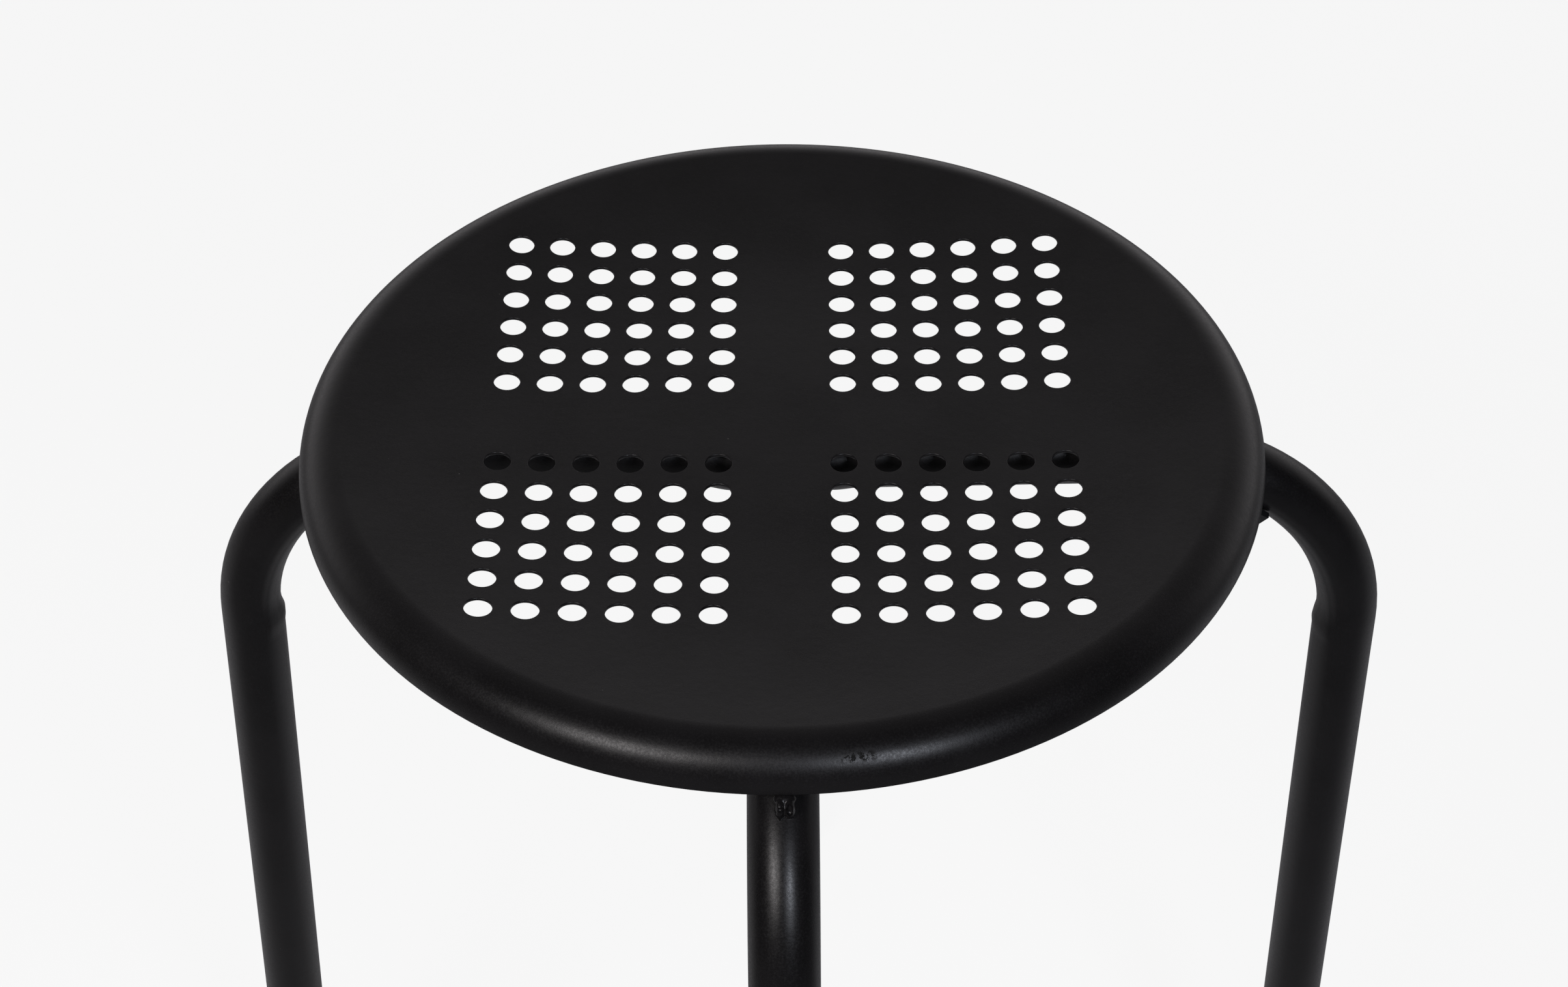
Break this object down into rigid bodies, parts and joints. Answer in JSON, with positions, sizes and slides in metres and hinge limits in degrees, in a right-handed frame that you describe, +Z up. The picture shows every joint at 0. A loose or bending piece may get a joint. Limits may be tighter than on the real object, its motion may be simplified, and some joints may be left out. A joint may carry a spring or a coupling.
{
  "type": "stacking stool",
  "caption": "Round backless stacking stool: perforated sheet-metal seat with a rolled rim on crossed bent-tube legs with plastic feet.",
  "frame": {"origin": "on the floor, under the centre of the seat", "axes": "+Z up, +X to the right of the picture, -Y towards its viewer; the four legs stand on the X and Y axes"},
  "size_m": [0.4411, 0.4404, 0.4499],
  "materials": {
    "powder_coat": "semi-matte fine-textured black powder coat on steel",
    "stacking_pad": "matte black plastic clip",
    "foot_cap": "matte black moulded plastic"
  },
  "bodies": {
    "root": {"seat_pan": "powder_coat", "leg_tube_side": "powder_coat", "leg_tube_front_rear": "powder_coat", "crossing_welds": "powder_coat", "seat_welds": "powder_coat", "rim_welds": "powder_coat", "stacking_pad_front": "stacking_pad", "stacking_pad_rear": "stacking_pad", "stacking_pad_left": "stacking_pad", "stacking_pad_right": "stacking_pad", "foot_cap_front": "foot_cap", "foot_cap_rear": "foot_cap", "foot_cap_left": "foot_cap", "foot_cap_right": "foot_cap"}
  },
  "joints": []
}
